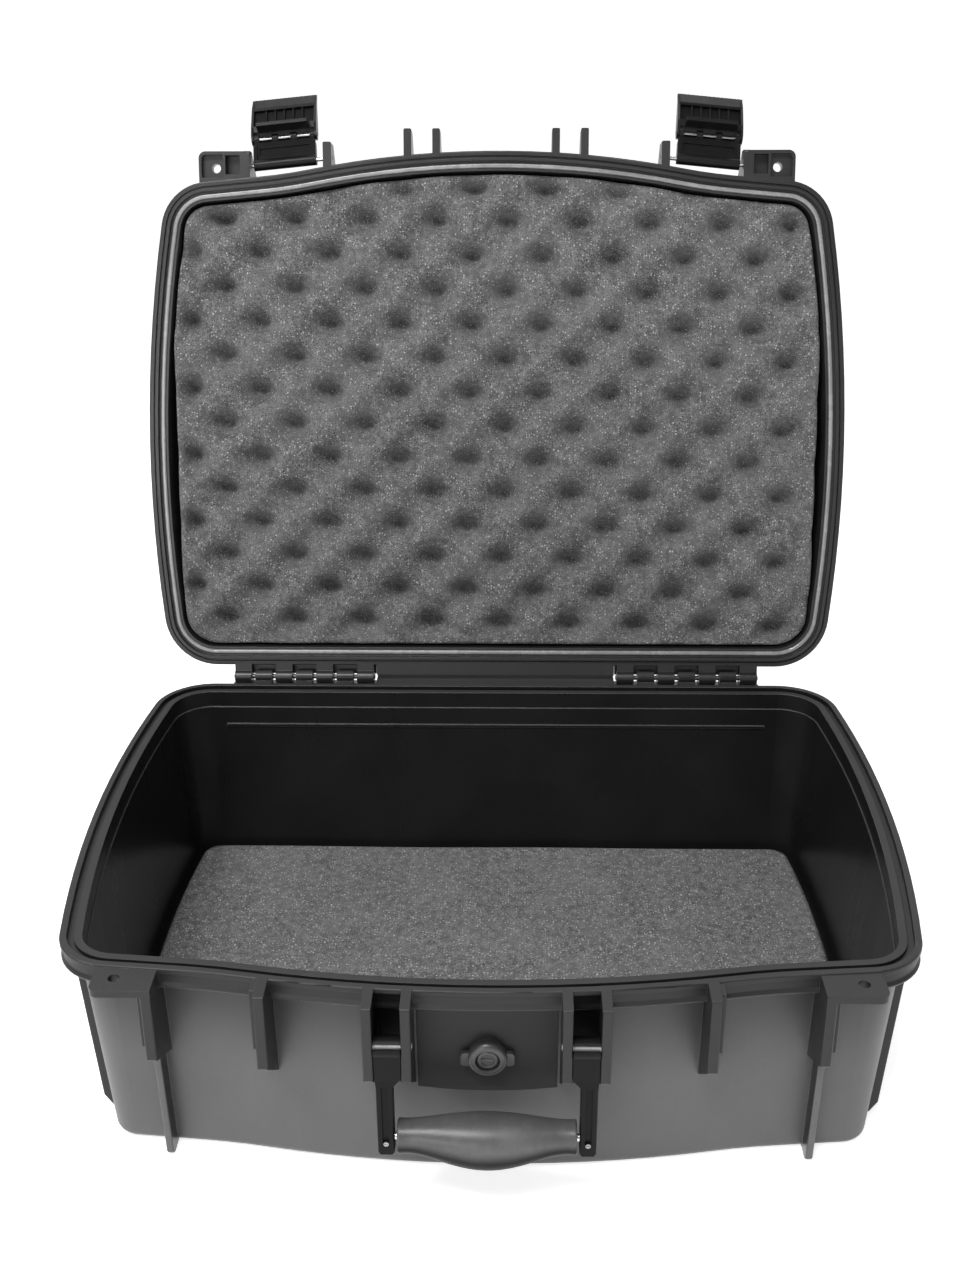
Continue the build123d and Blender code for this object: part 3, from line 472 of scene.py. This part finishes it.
SIDE_STEPS = (0.15, 0.45, 0.75, 1.0)     # rings down a pad's sides, as shares of the way to its back
EGG_X, EGG_Y = 52.7 * MM, 50.2 * MM      # lattice of the dimples
EGG_DEPTH = 26.0 * MM
EGG_TILT = math.radians(-1.0)
EGG_SHIFT = (7.4 * MM, 9.7 * MM)
DIMPLE_SPREAD = (7.0 * MM, 4.5 * MM)
DIMPLE_LEAN = 0.12
DIMPLE_SHARE = 0.58                      # of the depth; the broad swell between domes is the rest
BANK_WIDTH = 11.0 * MM                   # band inside the lid pad's rim where the egg crate fades out
RIM_SHARE = 0.18                         # of the egg crate's depth that is left at the rim
LID_LIP = (3.5 * MM, 1.2 * MM)           # width and drop of each pad's rounded rim
BASE_LIP = (3.0 * MM, 1.4 * MM)


def egg_crate(x, y):
    """0 at the top of a dome, about 1 at the bottom of a dimple: oval dimples between broad, low domes."""
    c, s = math.cos(EGG_TILT), math.sin(EGG_TILT)
    px = x * c - y * s - EGG_SHIFT[0]
    py = x * s + y * c - EGG_SHIFT[1]
    swell = 0.5 + 0.5 * np.cos(2 * math.pi * px / EGG_X) * np.cos(2 * math.pi * py / EGG_Y)
    dimples = np.zeros_like(px)
    for half in (0.0, 0.5):
        dx = px - half * EGG_X
        dy = py - half * EGG_Y
        dx = dx - EGG_X * np.round(dx / EGG_X)
        dy = dy - EGG_Y * np.round(dy / EGG_Y) - DIMPLE_LEAN * dx
        dimples += np.exp(-0.5 * ((dx / DIMPLE_SPREAD[0]) ** 2 + (dy / DIMPLE_SPREAD[1]) ** 2))
    return (1 - DIMPLE_SHARE) * swell + DIMPLE_SHARE * dimples


def rounded_rim(inset, lip):
    """How far a pad's front falls back near its rim."""
    width, drop = lip
    return drop * np.clip(1 - inset / width, 0, 1) ** 2


def make_lid_foam():
    """The convoluted pad, modelled with the lid closed, dimples up from below, then opened with the lid."""
    points = node_points("lid_foam", OPEN_TO_CLOSED)
    low, high = points[:, 2].min(), points[:, 2].max()
    outline = plan_outline(points[points[:, 2] < low + 0.5 * MM][:, :2])

    def surface(x, y, inset):
        wave = egg_crate(x, y)
        sag = 0.35 * MM * smooth_noise(x, y, 5, 0.09)
        bank = np.clip(inset / BANK_WIDTH, 0, 1)
        full = RIM_SHARE + (1 - RIM_SHARE) * bank**2 * (3 - 2 * bank)
        return low + 1.0 * MM + EGG_DEPTH * wave * full + sag + rounded_rim(inset, LID_LIP)

    piece = pad_mesh("lid_foam_convoluted", outline, 192, 138, surface, high - 0.2 * MM, taper=3.0 * MM)
    piece.data.transform(CLOSED_TO_OPEN)
    return piece


def make_base_foam():
    """The floor pad: flat, cut a little unevenly, with a soft top edge."""
    points = node_points("base_foam")
    low, high = points[:, 2].min(), points[:, 2].max()
    outline = plan_outline(points[points[:, 2] > high - 0.5 * MM][:, :2])

    def surface(x, y, inset):
        wave = 0.3 * MM * smooth_noise(x, y, 9, 0.16)
        return high - 0.45 * MM + wave - rounded_rim(inset, BASE_LIP)

    return pad_mesh("base_foam_pad", outline, 150, 110, surface, low + 0.1 * MM)


# the same foam as the floor pad's, painted darker on the lid as painted shade
LID_FOAM_SHADED = foam("foam_lid_shaded", dark=0.042, light=0.165)
PADS = (
    # piece, node it stands for, body, share of it that is filled, material
    (make_lid_foam(), "lid_foam", "lid", 0.5, LID_FOAM_SHADED),
    (make_base_foam(), "base_foam", "base", 0.9, LOOKS["foam"]),
)
for piece, node, body, fill, look in PADS:
    piece.data.materials.append(look)
    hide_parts(node)
    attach(piece, body)


# ---------------------------------------------------------------- studio

WHITE = grey(1.0)
FLOOR_HALF = 60.0        # metres, so that its edge is never seen
FLOOR_GLOW = 0.70
LIGHTS = (
    # name, place, aimed at, width and depth, watts
    ("key", (-0.6, -1.0, 2.1), (0, 0.15, 0.25), (1.3, 0.6), 52),
    ("top", (0.0, 1.0, 1.9), (0, 0.1, 0.1), (1.6, 0.6), 8),
    ("front", (-0.9, -2.2, 0.8), (0, 0, 0.1), (1.2, 0.6), 12),
)
OVERHEAD, HORIZON = 0.34, 1.0       # strength of the studio's light above, and where it meets the floor
HORIZON_FADE = (0.03, 0.35)         # upward share of the direction over which one turns into the other
CAMERA_AT = (0.01237, -0.85107, 0.64317)
CAMERA_PITCH, CAMERA_YAW, CAMERA_ROLL = (math.radians(a) for a in (24.12, -1.26, -0.30))
SENSOR_HEIGHT, LENS = 36.0, 42.46   # mm


def add_floor():
    """A wide white sweep that glows a little, so that it stays white to the edge of the view."""
    mesh = bpy.data.meshes.new("floor")
    bm = bmesh.new()
    bmesh.ops.create_grid(bm, x_segments=1, y_segments=1, size=FLOOR_HALF)
    bm.to_mesh(mesh)
    bm.free()
    floor = bpy.data.objects.new("floor", mesh)
    bpy.context.scene.collection.objects.link(floor)
    m = Mat("floor_pale")
    m.set(base_color=grey(0.86), roughness=0.8, emission_color=WHITE, emission_strength=FLOOR_GLOW)
    mesh.materials.append(m.mat)


def add_light(name, at, towards, size, watts):
    data = bpy.data.lights.new(name, "AREA")
    data.shape = "RECTANGLE"
    data.size, data.size_y = size
    data.energy = watts
    lamp = bpy.data.objects.new(name, data)
    bpy.context.scene.collection.objects.link(lamp)
    lamp.location = at
    lamp.rotation_euler = (Vector(towards) - Vector(at)).to_track_quat("-Z", "Y").to_euler()


def add_world():
    """An even studio, brighter where it meets the floor."""
    world = bpy.data.worlds.new("studio")
    bpy.context.scene.world = world
    world.use_nodes = True
    tree = world.node_tree
    direction = tree.nodes.new("ShaderNodeTexCoord")
    parts = tree.nodes.new("ShaderNodeSeparateXYZ")
    fade = tree.nodes.new("ShaderNodeMapRange")
    fade.interpolation_type = "SMOOTHSTEP"
    fade.inputs["From Min"].default_value, fade.inputs["From Max"].default_value = HORIZON_FADE
    fade.inputs["To Min"].default_value = HORIZON
    fade.inputs["To Max"].default_value = OVERHEAD
    tree.links.new(direction.outputs["Generated"], parts.inputs[0])
    tree.links.new(parts.outputs["Z"], fade.inputs["Value"])
    tree.links.new(fade.outputs["Result"], tree.nodes["Background"].inputs["Strength"])
    tree.nodes["Background"].inputs["Color"].default_value = WHITE


def add_camera():
    """The reference view: about a metre from the case, looking 24 degrees down."""
    pitch, yaw, roll = CAMERA_PITCH, CAMERA_YAW, CAMERA_ROLL
    forward = Vector((math.sin(yaw) * math.cos(pitch), math.cos(yaw) * math.cos(pitch), -math.sin(pitch)))
    level = Vector((math.cos(yaw), -math.sin(yaw), 0))
    upright = level.cross(forward)
    right = level * math.cos(roll) + upright * math.sin(roll)
    up = upright * math.cos(roll) - level * math.sin(roll)
    data = bpy.data.cameras.new("camera")
    data.sensor_fit = "VERTICAL"
    data.sensor_height = SENSOR_HEIGHT
    data.lens = LENS
    data.clip_start = 0.05
    data.clip_end = 500
    camera = bpy.data.objects.new("camera", data)
    bpy.context.scene.collection.objects.link(camera)
    rotation = Matrix((right, up, -forward)).transposed().to_4x4()
    camera.matrix_world = Matrix.Translation(CAMERA_AT) @ rotation
    bpy.context.scene.camera = camera


add_floor()
for light in LIGHTS:
    add_light(*light)
add_world()
add_camera()
bpy.context.scene.view_settings.view_transform = "Standard"
